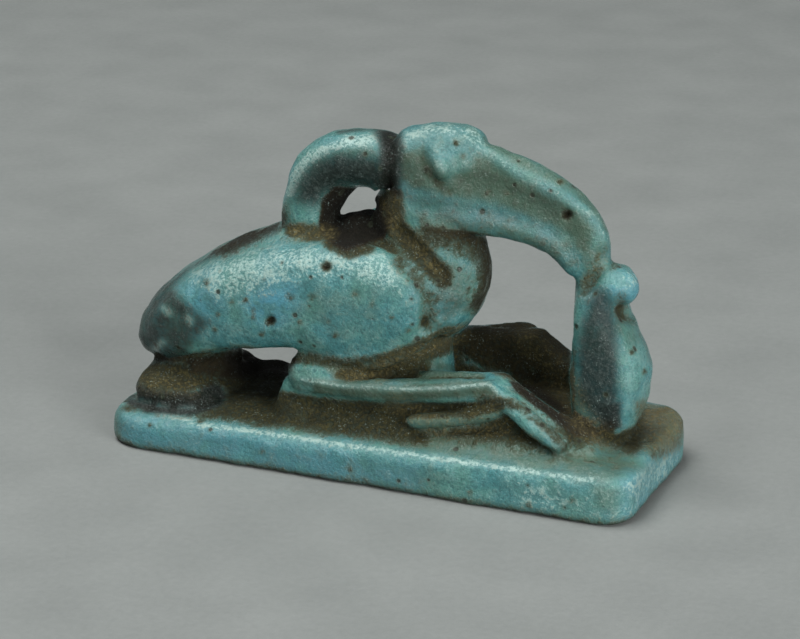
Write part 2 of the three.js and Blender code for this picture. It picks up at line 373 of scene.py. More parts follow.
def shape_outline(skin):
    """Worn and slumped places that the smooth solid doesn't have."""
    back_and_wing = [(166, 292), (176, 262), (240, 232), (290, 226), (306, 236), (300, 252)]
    back_and_wing += [(250, 264), (190, 296)]
    skin.rub(back_and_wing, 70, 1.2)
    beak_root = [(452, 148), (488, 146), (500, 180), (490, 212), (455, 212), (446, 180)]
    skin.rub(beak_root, 50, 0.8)
    narrow_hole(skin)
    ball = (626, 288)
    skin.cut([ball], 1.9, -0.45)
    knee = (303, 358)
    heel = (294, 374)
    ground_behind_leg = (268, 374)
    skin.push(knee, 1.6, (-0.75, 0.0, 0.0))
    skin.push(heel, 1.4, (-0.2, 0.0, 0.0))
    skin.push(ground_behind_leg, 1.8, (0.0, 0.0, 0.3))
    back_in_hole = (366, 226)
    loop_by_knob = (386, 186)
    crown_front = (483, 131)
    neck_top = (393, 198)
    knob_foot = (387, 185)
    notch_foot = (384, 200)
    neck_corner = (371, 207)
    hole_floor = (350, 218)
    hole_side = (337, 200)
    skin.push(back_in_hole, 1.8, (0.0, 0.0, 0.35))
    skin.push(loop_by_knob, 1.4, (-0.2, 0.0, -0.55))
    skin.push(crown_front, 1.3, (-0.35, 0.0, 0.05))
    skin.nudge(neck_top, 1.1, -0.35, 0.55)
    skin.nudge(notch_foot, 0.9, 0.0, 1.0)
    skin.nudge(knob_foot, 0.9, 0.0, -0.2)
    skin.nudge(neck_corner, 0.7, 0.35, 0.0)
    skin.nudge(hole_floor, 0.9, 0.0, 0.3)
    skin.nudge(hole_side, 0.9, 0.2, 0.0)
    round_off_hole(skin)


def round_off_hole(skin):
    """Smooths the rim that the nudges leave, over an egg shape that is long across the loop."""
    middle = np.array([-1.9, 0.0, 17.8])
    stretch = np.array([1.0, 0.4, 1.0])
    reach = 3.0
    gap = np.linalg.norm((skin.places - middle) * stretch, axis=1)
    rounded = skin.averaged(skin.places, 5)
    skin.places = skin.places + (rounded - skin.places) * soft(gap, reach)[:, None]


def narrow_hole(skin):
    """The hanging hole is a funnel: it closes in towards its far side."""
    middle = np.array([-2.3, 0.0, 18.4])
    radius = 1.7
    wall = 1.6
    most = 1.05
    starts_at = -1.6
    full_after = 2.4
    away = (skin.places - middle) * np.array([1.0, 0.0, 1.0])
    gap = np.linalg.norm(away, axis=1)
    inward = -away / np.maximum(gap, 1e-6)[:, None]
    depth = np.clip((skin.places[:, 1] - starts_at) / full_after, 0.0, 1.0)
    closing = np.sum(skin.outward * inward, axis=1) > 0.1
    amount = most * depth * soft(np.abs(gap - radius), wall) * closing
    skin.places = skin.places + inward * skin.averaged(amount, 4)[:, None]


def carve_head(skin):
    beak_hollow = [(470, 184), (500, 190), (530, 204), (560, 222), (582, 242)]
    upper_ridge = [(484, 147), (527, 179), (571, 201), (598, 218), (604, 240)]
    cheek = [(400, 204), (420, 213), (450, 217), (480, 220), (520, 229), (552, 243), (574, 262)]
    skin.cut(beak_hollow, 1.5, 0.18)
    skin.cut(upper_ridge, 0.8, -0.12)
    skin.cut(cheek, 1.2, -0.03)
    eye = [(432, 150), (438, 160), (443, 170)]
    eye_socket = [(420, 160), (426, 176), (440, 184), (456, 178)]
    brow = [(462, 155), (466, 168)]
    skin.cut(eye_socket, 0.7, 0.1)
    skin.cut(eye, 0.9, -0.22)
    skin.cut(brow, 0.7, -0.14)
    far_eye = (3.3, 3.5, 20.6)
    skin.cut([far_eye], 0.9, -0.22)


def carve_neck_and_wings(skin):
    neck_groove = [(398, 232), (412, 246), (428, 262), (440, 274)]
    wing_front = [(400, 262), (418, 280), (427, 300), (425, 322)]
    chest_lip = [(424, 338), (445, 330), (465, 312), (483, 285)]
    skin.cut(neck_groove, 0.85, 0.5)
    skin.cut(wing_front, 0.8, 0.3)
    skin.cut(chest_lip, 0.8, -0.15)
    wing_lip = [(192, 352), (220, 350), (255, 347), (300, 350), (350, 355), (385, 349)]
    wing_lip += [(400, 342), (440, 322)]
    below_wing = [(230, 359), (265, 356), (300, 361), (350, 367), (388, 361), (410, 352), (446, 334)]
    skin.cut(wing_lip, 0.9, -0.12)
    skin.cut(below_wing, 0.7, 0.25)


def carve_knob(skin):
    knob = (389, 168)
    knob_edge = [(378, 148), (371, 166), (374, 186)]
    skin.cut([knob], 1.3, -0.15)
    skin.cut(knob_edge, 0.6, 0.12)


def carve_legs(skin):
    above_tarsus = [(343, 375), (385, 374), (430, 374), (480, 376)]
    tarsus_edge = [(296, 378), (343, 387), (400, 391), (450, 390), (488, 385)]
    gap_floor = [(-12.3, 3.4, 3.7), (-11.3, 3.8, 3.4), (-10.4, 4.2, 3.3)]
    below_tarsus = [(292, 400), (343, 408), (400, 411), (450, 410), (480, 406)]
    near_toe = [(490, 384), (508, 398), (530, 412), (548, 430), (564, 444)]
    inner_toe = [(508, 384), (530, 395), (556, 414), (590, 426)]
    toe_groove = [(520, 400), (545, 420), (570, 434)]
    hind_toe = [(420, 419), (455, 414), (495, 407)]
    below_hind_toe = [(412, 434), (450, 434), (500, 424)]
    skin.cut(above_tarsus, 0.8, 0.25)
    skin.cut(tarsus_edge, 0.5, -0.2)
    skin.cut(below_tarsus, 0.7, 0.18)
    skin.cut(near_toe, 0.45, -0.18)
    skin.cut(inner_toe, 0.4, -0.15)
    skin.cut(toe_groove, 0.45, 0.2)
    skin.cut(hind_toe, 1.25, -0.16)
    skin.cut(below_hind_toe, 0.6, 0.1)
    for spot in gap_floor:
        skin.push(spot, 1.6, (0.0, 0.0, 0.33))


def carve_small_figure(skin):
    chin_groove = [(603, 256), (594, 272), (585, 290)]
    back_notch = [(622, 300), (622, 317), (634, 318)]
    skin.cut(chin_groove, 0.8, 0.2)
    skin.cut(back_notch, 0.7, 0.2)


def carve_pits(skin):
    """Bubbles that burst in the firing, and chips."""
    head_pits = [(450, 193), (488, 193), (508, 193), (456, 145), (412, 235)]
    edge_chips = [(275, 440), (200, 420), (345, 446), (438, 458), (520, 468), (572, 478), (150, 408)]
    foot_chips = [(230, 478), (310, 492), (455, 512), (560, 522), (650, 500)]
    skin.cut([BEAK_PIT], 0.5, 0.5)
    for pit in DEEP_PITS:
        skin.cut([pit], 0.5, 0.45)
    for pit in WING_PITS:
        skin.cut([pit], 0.4, 0.15)
    for pit in head_pits:
        skin.cut([pit], 0.35, 0.15)
    for chip in edge_chips:
        skin.cut([chip], 0.7, 0.16)
    for chip in foot_chips:
        skin.cut([chip], 1.2, 0.2)
    bubbles = 90
    chance = np.random.default_rng(11)
    for index in chance.integers(0, len(skin.places), bubbles):
        spot = tuple(skin.places[index])
        skin.cut([spot], chance.uniform(0.3, 0.55), chance.uniform(0.03, 0.12))


def carve(amulet):
    skin = Skin(amulet)
    skin.even_out(45)
    skin.look()
    shape_outline(skin)
    skin.look()
    carve_head(skin)
    carve_neck_and_wings(skin)
    carve_knob(skin)
    carve_legs(skin)
    carve_small_figure(skin)
    skin.look()
    carve_pits(skin)
    skin.even_out(1)
    skin.look()
    uneven(amulet, "broad_swells", 3.2, 0.26, 0.6)
    uneven(amulet, "middle_swells", 1.5, 0.12, 0.5)
    uneven(amulet, "small_swells", 0.6, 0.05, 0.5)
    skin.read()
    return skin


def stay_in_box(skin):
    """The skin stays inside the solid's own box."""
    clearance = 0.002
    low = np.array(cad_box[0]) / MM + clearance
    high = np.array(cad_box[1]) / MM - clearance
    skin.places = np.clip(skin.places, low, high)
    skin.look()


def paint_black_and_shade(skin):
    """Glaze that fired black, and painted shade with dirt: on the ground under the body and the tail, in
    the hanging hole, on the chest's front and by the far leg.
    """
    tail = [(172, 262), (176, 290), (190, 305), (214, 322), (197, 340), (186, 362), (130, 372), (130, 300)]
    loop_end = [(374, 124), (400, 124), (404, 150), (402, 196), (385, 200), (374, 182), (378, 150)]
    loop_face = [(290, 204), (294, 184), (308, 164), (334, 152), (374, 152), (388, 158)]
    loop_face += [(384, 192), (347, 188), (326, 198), (318, 208)]
    loop_top_edge = [(340, 128), (370, 124), (396, 130)]
    behind_loop = [(200, 252), (240, 228), (285, 206), (292, 224), (262, 240), (225, 258)]
    back_edge = [(158, 288), (185, 262), (215, 247), (250, 233)]
    figure_face = [(592, 284), (610, 290), (620, 330), (622, 400), (602, 432), (574, 405)]
    figure_face += [(576, 340), (586, 300)]
    figure_foot = [(590, 400), (622, 400), (622, 428), (604, 434)]
    pad_side = [(124, 378), (130, 392), (150, 402), (190, 404), (214, 396)]
    pad = [(124, 372), (150, 362), (186, 362), (214, 376), (218, 410), (170, 412), (126, 402)]
    chest_front_dirt_and_shade = [(432, 228), (460, 232), (484, 242), (491, 262), (490, 290), (483, 302)]
    shade_in_hole = [(318, 230), (322, 200), (334, 186), (360, 188), (386, 198), (394, 216)]
    shade_in_hole += [(386, 238), (345, 252), (330, 244)]
    far_leg_dirt_and_shade = [(450, 350), (465, 330), (490, 320), (540, 314), (566, 330), (574, 350)]
    far_leg_dirt_and_shade += [(576, 420), (540, 395), (500, 376)]
    inner_toe = [(504, 384), (530, 390), (575, 414), (602, 430), (590, 438), (556, 422), (528, 402)]
    shade_under_belly = [(226, 352), (288, 346), (298, 362), (284, 378), (216, 380)]
    shade_under_tail = [(184, 358), (250, 350), (250, 366), (215, 380), (190, 374)]
    skin.paint_layer("black_glaze_and_shade", 0.67, [tail], blur=1.3, depth=20.0)
    skin.paint_layer("dirt_and_shade", 0.35, [tail], blur=1.3)
    skin.paint_layer("black_glaze_and_shade", 1.0, [loop_end], blur=1.5)
    skin.paint_layer("dirt_and_shade", 0.45, [loop_end], blur=1.2)
    skin.paint_layer("black_glaze_and_shade", 0.92, [loop_face], blur=2.6)
    skin.paint_layer("black_glaze_and_shade", 0.8, [loop_top_edge], reach=0.1, blur=0.7)
    skin.paint_layer("black_glaze_and_shade", 0.7, [behind_loop], blur=1.2)
    skin.paint_layer("dirt_and_shade", 0.8, [behind_loop], blur=1.4)
    skin.paint_layer("black_glaze_and_shade", 0.75, [back_edge], reach=0.2, blur=1.1)
    skin.paint_layer("black_glaze_and_shade", 0.8, [figure_face], blur=1.7)
    skin.paint_layer("black_glaze_and_shade", 0.95, [figure_foot], blur=1.0)
    skin.paint_layer("black_glaze_and_shade", 1.0, [pad_side], reach=0.5, blur=0.7)
    # Painted shade, with dirt, on the chest's front.
    skin.paint_layer("black_glaze_and_shade", 0.55, [chest_front_dirt_and_shade], reach=HAIRLINE, blur=1.9)
    # Painted shade under the tail.
    skin.paint_layer("black_glaze_and_shade", 0.7, [shade_under_tail], blur=0.8)
    # Earth on the pad; painted shade under the tail and the belly and in the channel by the far leg.
    skin.paint_layer("dirt_and_shade", 1.0, [pad, shade_under_tail, shade_under_belly, far_leg_dirt_and_shade], blur=0.8)
    # More painted shade, with dirt, on the chest's front.
    skin.paint_layer("dirt_and_shade", 0.95, [chest_front_dirt_and_shade], reach=0.1, blur=1.8)
    skin.paint_layer("dirt_and_shade", -0.55, [pad_side], reach=0.5, blur=0.7)
    # Painted shadow inside the hanging hole.
    skin.paint_layer("black_glaze_and_shade", 1.0, [shade_in_hole], blur=0.5, depth=2.6)
    skin.paint_layer("dirt_and_shade", 1.0, [shade_in_hole], blur=0.5, depth=2.6)
    # Painted shade in the channel by the far leg.
    skin.paint_layer("black_glaze_and_shade", 0.5, [far_leg_dirt_and_shade], blur=1.4)
    skin.paint_layer("black_glaze_and_shade", 0.8, [inner_toe], blur=0.6)
    # Painted shade under the belly.
    skin.paint_layer("black_glaze_and_shade", 0.9, [shade_under_belly], blur=0.9)


def paint_brown_and_shade(skin):
    """Earth in the grooves and in the pits, and painted shade with earth below the head, the wing, the
    chest and the leg.
    """
    neck_groove = [(394, 226), (412, 244), (428, 262), (442, 276)]
    wing_front = [(400, 262), (418, 280), (430, 300), (428, 325)]
    chest_shade = [(446, 246), (468, 252), (478, 275), (474, 300), (462, 270)]
    shade_and_dirt_below_head = [(400, 222), (430, 226), (488, 240), (490, 270), (470, 262), (440, 250)]
    shade_and_dirt_below_head += [(420, 270), (398, 245)]
    head_gap = [(384, 184), (404, 190), (406, 236), (390, 240)]
    loop_foot = [(292, 230), (310, 232), (332, 234)]
    hole_lip = [(330, 242), (350, 252), (368, 246)]
    below_wing = [(196, 358), (240, 352), (300, 358), (350, 364), (388, 358), (420, 346), (450, 330)]
    under_chest = [(392, 358), (430, 342), (470, 322), (476, 336), (455, 352), (430, 362), (370, 370)]
    above_tarsus = [(346, 368), (385, 370), (425, 363)]
    below_tarsus = [(284, 398), (300, 402), (343, 408), (400, 411), (470, 410), (498, 404)]
    toe_groove = [(480, 396), (520, 406), (545, 425), (560, 440)]
    chin_groove = [(603, 252), (594, 270), (584, 292)]
    ball_foot = [(612, 262), (616, 258), (630, 258)]
    back_notch = [(620, 300), (624, 318), (634, 320)]
    plinth_end = [(636, 402), (684, 400), (690, 425), (680, 448), (655, 460), (640, 440)]
    figure_back = [(640, 318), (650, 340), (656, 360)]
    small_pits = [(456, 144), (463, 156), (450, 193), (488, 192), (508, 193), (245, 300), (392, 318)]
    small_pits += [(253, 318), (262, 334), (232, 302), (218, 314), (335, 336), (372, 305), (215, 330)]
    small_pits += [(632, 352), (645, 372), (438, 300), (468, 290), (150, 425), (262, 452), (350, 470)]
    small_pits += [(470, 492), (528, 505), (572, 500), (560, 182), (535, 225), (300, 322), (408, 330)]
    skin.paint_layer("dirt_and_shade", 1.0, [neck_groove], reach=0.4, blur=0.9)
    skin.paint_layer("dirt_and_shade", 0.6, [wing_front], reach=0.05, blur=1.3)
    # Painted shade, with dirt, below the head.
    skin.paint_layer("dirt_and_shade", 0.8, [shade_and_dirt_below_head], blur=2.2)
    # Painted shade on the chest.
    skin.paint_layer("dirt_and_shade", 0.35, [chest_shade], blur=1.6)
    skin.paint_layer("dirt_and_shade", 0.95, [head_gap], blur=0.9)
    skin.paint_layer("dirt_and_shade", 0.9, [loop_foot, hole_lip], reach=0.2, blur=0.7)
    # Painted shade, with earth, below the wing and the chest.
    skin.paint_layer("dirt_and_shade", 0.8, [below_wing], reach=0.1, blur=0.7)
    skin.paint_layer("dirt_and_shade", 0.9, [under_chest], blur=0.9)
    skin.paint_layer("dirt_and_shade", 0.75, [above_tarsus], reach=0.2, blur=0.7)
    # Painted shade, with earth, below the leg.
    skin.paint_layer("dirt_and_shade", 0.95, [below_tarsus], reach=0.3, blur=0.5)
    skin.paint_layer("dirt_and_shade", 0.7, [toe_groove], reach=0.1, blur=0.6)
    skin.paint_layer("dirt_and_shade", 0.6, [chin_groove, ball_foot], reach=0.05, blur=1.2)
    skin.paint_layer("dirt_and_shade", 0.5, [back_notch], reach=0.05, blur=1.0)
    skin.paint_layer("dirt_and_shade", 0.8, [plinth_end], blur=1.4)
    skin.paint_layer("dirt_and_shade", 0.5, [figure_back], reach=0.1, blur=0.7)
    between_toes = [(508, 380), (535, 386), (590, 420), (604, 436), (575, 437), (546, 415), (517, 393)]
    skin.paint_layer("dirt_and_shade", 0.95, [between_toes], blur=0.4)
    skin.paint_layer("black_glaze_and_shade", 0.95, [between_toes], blur=0.4)
    for pit in [*DEEP_PITS, BEAK_PIT]:
        skin.paint_layer("dirt_and_shade", 0.95, [[pit]], reach=0.12, blur=0.5)
        skin.paint_layer("black_glaze_and_shade", 1.0, [[pit]], reach=0.12, blur=0.2)
    for pit in WING_PITS:
        skin.paint_layer("dirt_and_shade", 0.5, [[pit]], reach=0.1, blur=0.5)
    for pit in small_pits:
        skin.paint_layer("dirt_and_shade", 0.8, [[pit]], reach=0.03, blur=0.35)


def keep_jaw_clean(skin):
    """The glaze along the lower edge of the beak shows against the dirt below it."""
    jaw = [(403, 188), (500, 200), (575, 240), (566, 258), (500, 235), (440, 227), (412, 224)]
    chin = [(582, 288), (590, 262), (602, 248), (614, 258), (602, 286)]
    chest = [(440, 262), (474, 262), (474, 310), (446, 330), (436, 300)]
    skin.paint_layer("dirt_and_shade", -0.9, [jaw], blur=0.4)
    skin.paint_layer("black_glaze_and_shade", -0.9, [jaw], blur=0.4)
    skin.paint_layer("dirt_and_shade", -0.4, [chin], blur=0.9)
    skin.paint_layer("pale_wear_and_highlight", -0.7, [chest], blur=1.4)


def paint_olive_and_shade(skin):
    """A thin greenish film of dirt over the glaze, and painted shade with some dirt on the head's side,
    under the beak, on the chest and on the leg.
    """
    face = [(402, 150), (425, 148), (450, 178), (480, 150), (500, 165), (560, 195)]
    face += [(598, 228), (588, 262), (560, 232), (500, 208), (440, 196), (405, 190)]
    by_knob = [(398, 152), (412, 150), (418, 178), (400, 184)]
    whole_head = [(398, 150), (420, 126), (460, 118), (485, 130), (560, 180), (612, 230)]
    whole_head += [(600, 262), (575, 262), (500, 236), (400, 222)]
    beak_top = [(488, 140), (520, 160), (560, 180), (592, 202), (608, 226)]
    crown = [(450, 122), (475, 122), (485, 138), (470, 140)]
    shade_under_beak = [(415, 212), (500, 219), (556, 240), (580, 268), (560, 262), (520, 244), (420, 232)]
    chest = [(440, 250), (470, 262), (470, 310), (440, 330), (430, 300)]
    wing = [(300, 280), (380, 290), (400, 330), (330, 340), (290, 310)]
    leg_top = [(322, 364), (440, 362), (486, 373), (486, 380), (400, 384), (335, 380)]
    tarsus = [(312, 378), (400, 384), (490, 380), (500, 396), (400, 402), (312, 394)]
    heel = [(286, 364), (312, 366), (316, 388), (292, 392)]
    lower_beak = [(403, 188), (480, 200), (560, 226), (592, 262), (572, 274), (520, 244), (420, 234)]
    loop = [(286, 205), (295, 170), (318, 148), (345, 136), (376, 134), (376, 156), (330, 162), (300, 186)]
    plinth_top = [(400, 436), (430, 430), (500, 440), (560, 450), (600, 442), (640, 458)]
    plinth_top += [(655, 470), (600, 486), (500, 466), (400, 450)]
    figure_side = [(612, 320), (640, 330), (650, 350), (640, 340), (624, 360)]
    hind_toe = [(405, 412), (450, 404), (500, 404), (505, 418), (470, 428), (410, 428)]
    plinth_face = [(112, 402), (300, 440), (440, 462), (450, 510), (400, 505), (112, 450)]
    corner = [(590, 480), (622, 488), (616, 520), (596, 510)]
    left_corner = [(106, 398), (124, 406), (124, 448), (106, 440)]
    # Painted shade, with some dirt, on the head's side and the lower beak.
    skin.paint_layer("dirt_and_shade", 0.18, [face, lower_beak], blur=1.6)
    skin.paint_layer("black_glaze_and_shade", 0.32, [face, lower_beak], blur=2.0)
    skin.paint_layer("black_glaze_and_shade", 0.42, [by_knob], blur=1.0)
    skin.paint_layer("dirt_and_shade", 0.35, [by_knob], blur=1.0)
    # Painted shade under the beak, where it turns away from the light.
    skin.paint_layer("dirt_and_shade", 0.3, [shade_under_beak], blur=0.8)
    # Painted shade, with some dirt, on the chest and the leg.
    skin.paint_layer("black_glaze_and_shade", 0.36, [chest], blur=1.6)
    skin.paint_layer("black_glaze_and_shade", 0.25, [tarsus], blur=0.8)
    skin.paint_layer("dirt_and_shade", 0.26, [chest], blur=1.6)
    skin.paint_layer("dirt_and_shade", 0.22, [tarsus], blur=0.8)
    skin.paint_layer("dirt_and_shade", 0.05, [plinth_face], blur=1.6)
    skin.paint_layer("olive", 1.0, [face], blur=2.0)
    skin.paint_layer("olive", 0.8, [beak_top], reach=0.1, blur=0.9)
    skin.paint_layer("olive", 0.65, [crown], blur=1.0)
    skin.paint_layer("olive", 0.45, [whole_head], blur=1.0)
    skin.paint_layer("olive", 0.5, [chest], blur=2.0)
    skin.paint_layer("olive", 0.35, [wing], blur=2.5)
    skin.paint_layer("olive", 0.9, [leg_top], blur=0.8)
    skin.paint_layer("olive", 0.6, [hind_toe], blur=0.8)
    skin.paint_layer("olive", 0.5, [heel], blur=1.0)
    skin.paint_layer("olive", 0.55, [lower_beak], blur=1.2)
    skin.paint_layer("olive", 0.9, [by_knob], blur=0.7)
    skin.paint_layer("olive", 0.95, [tarsus], blur=0.7)
    skin.paint_layer("olive", 0.55, [loop], blur=1.2)
    skin.paint_layer("olive", 0.7, [plinth_top], blur=1.4)
    skin.paint_layer("olive", 0.5, [figure_side], blur=1.0)
    skin.paint_layer("olive", 0.4, [plinth_face], blur=2.6)
    skin.paint_layer("olive", 0.6, [corner, left_corner], blur=1.4)


def stain_gold(skin):
    """Golden grains in the dirt."""
    groove_edge = [(400, 228), (422, 248), (440, 270)]
    head_gap = [(388, 200), (396, 226)]
    loop_foot = [(296, 232), (328, 234)]
    under_chest = [(385, 362), (430, 346), (462, 332)]
    above_tarsus = [(343, 374), (385, 375)]
    channel = [(528, 340), (552, 362), (566, 390)]
    under_toes = [(400, 404), (440, 430), (500, 424)]
    plinth_end = [(640, 404), (684, 404), (686, 425), (672, 450), (645, 450)]
    figure_side = [(600, 258), (590, 278)]
    by_figure = [(566, 380), (580, 420), (600, 436)]
    pad = [(146, 384), (190, 388)]
    skin.paint_layer("gold", 0.45, [groove_edge], reach=0.1, blur=0.5)
    skin.paint_layer("gold", 0.6, [head_gap, loop_foot, under_chest], reach=0.2, blur=0.7)
    skin.paint_layer("gold", 0.8, [above_tarsus], reach=0.1, blur=0.6)
    skin.paint_layer("gold", 0.45, [channel, under_toes, by_figure], reach=0.3, blur=1.0)
    skin.paint_layer("gold", 0.25, [pad], reach=0.2, blur=0.9)
    skin.paint_layer("gold", 1.0, [plinth_end], blur=1.2)
    skin.paint_layer("olive", 0.5, [plinth_end], blur=1.2)
    skin.paint_layer("dirt_and_shade", -0.45, [plinth_end], blur=1.2)
    skin.paint_layer("gold", 0.3, [figure_side], reach=0.05, blur=0.8)


def paint_pale_and_highlights(skin):
    """Pale wear, and painted highlights and glints, on the edges and the upper sides; the plinth's right
    part painted lighter; pale flecks on the tail.
    """
    wing_top = [(185, 264), (240, 246), (300, 240), (390, 250), (414, 277), (405, 300)]
    wing_top += [(340, 280), (290, 284), (262, 300), (215, 304), (186, 288)]
    wing_front = [(404, 275), (418, 292), (418, 318)]
    loop_top = [(290, 192), (297, 172), (315, 154), (345, 142), (375, 140)]
    head_back = [(402, 146), (412, 134), (430, 128)]
    crown = [(440, 130), (470, 132), (480, 145)]
    eye = [(434, 152), (440, 166)]
    cheek_end = [(402, 190), (408, 205)]
    brow = [(466, 165)]
    upper_ridge = [(484, 149), (527, 181), (571, 203), (598, 218), (606, 244)]
    tarsus_top = [(300, 379), (343, 386), (400, 389), (450, 388), (488, 384), (500, 395)]
    near_toe = [(500, 396), (525, 412), (545, 430), (566, 445)]
    inner_toe = [(508, 385), (530, 397), (556, 416)]
    ball = [(628, 280)]
    figure_edge = [(586, 300), (582, 330), (580, 385)]
    bulge = [(630, 345), (640, 372), (638, 398)]
    plinth_edge = [(122, 402), (200, 424), (300, 438), (420, 456), (520, 470), (590, 480)]
    plinth_corner = [(600, 482), (612, 500), (610, 515)]
    plinth_right = [(500, 474), (600, 488), (604, 528), (510, 512)]
    plinth_end = [(618, 480), (660, 452), (686, 440), (680, 470), (625, 525)]
    pad_glints = [[(132, 398), (150, 402)], [(158, 404), (167, 406)], [(180, 408), (193, 407)]]
    tail_flecks = [[(164, 308), (169, 313)], [(156, 348), (163, 342)], [(188, 317), (191, 322)]]
    # Painted highlights on ridges, edges and the ball; on the wing's crust mixed with real pale wear.
    skin.paint_layer("pale_wear_and_highlight", 0.8, [wing_top], blur=2.4)
    skin.paint_layer("pale_wear_and_highlight", 0.45, [wing_front], reach=0.1, blur=1.2)
    skin.paint_layer("pale_wear_and_highlight", 1.0, [loop_top], reach=0.1, blur=0.8)
    skin.paint_layer("pale_wear_and_highlight", 0.75, [head_back, crown], reach=0.1, blur=0.9)
    skin.paint_layer("pale_wear_and_highlight", 0.55, [eye, cheek_end, brow], reach=0.1, blur=1.0)
    skin.paint_layer("pale_wear_and_highlight", 0.6, [upper_ridge], reach=HAIRLINE, blur=0.7)
    skin.paint_layer("pale_wear_and_highlight", 1.0, [tarsus_top], reach=HAIRLINE, blur=0.35)
    skin.paint_layer("pale_wear_and_highlight", 0.9, [near_toe], reach=HAIRLINE, blur=0.35)
    skin.paint_layer("pale_wear_and_highlight", 1.0, [inner_toe], reach=HAIRLINE, blur=0.25)
    skin.paint_layer("pale_wear_and_highlight", 0.7, [ball], reach=0.3, blur=1.2)
    skin.paint_layer("pale_wear_and_highlight", 0.5, [figure_edge], reach=HAIRLINE, blur=0.6)
    skin.paint_layer("pale_wear_and_highlight", 0.35, [bulge], reach=0.2, blur=1.2)
    # Painted highlight on the plinth's top edge, and painted light on its right part, end and corner.
    skin.paint_layer("pale_wear_and_highlight", 1.0, [plinth_edge], reach=HAIRLINE, blur=0.5)
    skin.paint_layer("pale_wear_and_highlight", 0.7, [plinth_right], blur=3.0)
    skin.paint_layer("pale_wear_and_highlight", 0.75, [plinth_end], blur=1.6)
    skin.paint_layer("pale_wear_and_highlight", 0.45, [plinth_corner], reach=0.4, blur=1.4)
    # Painted glints on the pad's rim.
    skin.paint_layer("black_glaze_and_shade", -0.35, pad_glints, reach=HAIRLINE, blur=0.35)
    skin.paint_layer("dirt_and_shade", -0.3, pad_glints, reach=HAIRLINE, blur=0.35)
    skin.paint_layer("pale_wear_and_highlight", 0.9, pad_glints, reach=HAIRLINE, blur=0.35)
    for fleck in tail_flecks:
        skin.paint_layer("black_glaze_and_shade", -0.5, [fleck], reach=0.05, blur=0.5)
        skin.paint_layer("pale_wear_and_highlight", 1.0, [fleck], reach=0.05, blur=0.6)


def paint_blue_and_lit_end(skin):
    """Patches where the glaze ran bluer; on the plinth's end the bluer tint is partly painted light from
    the right.
    """
    wing_patch = [(245, 292), (265, 280), (292, 284), (298, 304), (276, 324), (250, 318)]
    wing_back = [(170, 285), (210, 270), (225, 300), (205, 320), (190, 305)]
    cheek = [(402, 180), (425, 190), (520, 212), (560, 232), (560, 245), (500, 226), (430, 216), (402, 208)]
    plinth_side = [(120, 410), (300, 445), (420, 462), (420, 500), (300, 480), (120, 445)]
    plinth_end = [(618, 480), (686, 440), (680, 470), (625, 525)]
    ball = [(628, 285)]
    skin.paint_layer("blue", 0.75, [wing_patch], blur=2.4)
    skin.paint_layer("blue", 0.4, [wing_back], blur=1.8)
    skin.paint_layer("blue", 0.35, [cheek], blur=1.2)
    skin.paint_layer("blue", 0.5, [plinth_side], blur=1.8)
    # Bluer, lighter glaze on the plinth's end, partly painted light from the right.
    skin.paint_layer("blue", 0.45, [plinth_end], blur=1.4)
    skin.paint_layer("blue", 0.5, [ball], reach=0.8, blur=1.0)


def paint_by_form(skin):
    """Dirt that settled in hollows and on the plinth, darker towards the plinth's bottom, and glaze worn
    pale on the edges, with a painted highlight where they face up.
    """
    near = skin.averaged(skin.places, 6)
    wide = skin.averaged(skin.places, 60)
    small_hollow = np.sum((near - skin.places) * skin.outward, axis=1)
    large_hollow = np.sum((wide - skin.places) * skin.outward, axis=1)
    hollow = np.clip(small_hollow / 0.03, -1.0, 1.0) * 0.4
    hollow = hollow + np.clip(large_hollow / 0.22, -1.0, 1.0) * 0.6
    hollow = skin.averaged(hollow, 2)
    x, y, z = skin.places.T
    edge_height = 2.9 + x * 0.03
    half_width = 7.5 + x * 0.021
    half_length = 19.4
    clean_rim = 0.7
    above = np.clip(edge_height + 2.6 - z, 0.0, 1.0)
    above = above * np.clip((z - edge_height + 0.35) / 0.3, 0.0, 1.0)
    inside = np.clip((half_width - clean_rim - np.abs(y)) / 1.2, 0.0, 1.0)
    inside = inside * np.clip((half_length - np.abs(x)) / 0.9, 0.0, 1.0)
    plinth_dirt = skin.averaged(above * inside, 3)
    # The plinth is darker towards its bottom edge.
    darker_towards_bottom = 0.6 * np.clip((0.9 - z) / 0.7, 0.0, 1.0)
    dirt_and_shade = np.maximum(0.95 * plinth_dirt, darker_towards_bottom)
    skin.layers["dirt_and_shade"] = np.maximum(dirt_and_shade, np.clip(hollow * 1.2, 0.0, 0.9))
    # Painted highlight: the pale layer on raised edges grows where they face up, over their wear.
    lit = np.clip(skin.outward[:, 2] + 0.1, 0.0, 1.0)
    skin.layers["pale_wear_and_highlight"] = np.clip(-hollow * 0.6 - 0.1, 0.0, 0.35) * lit


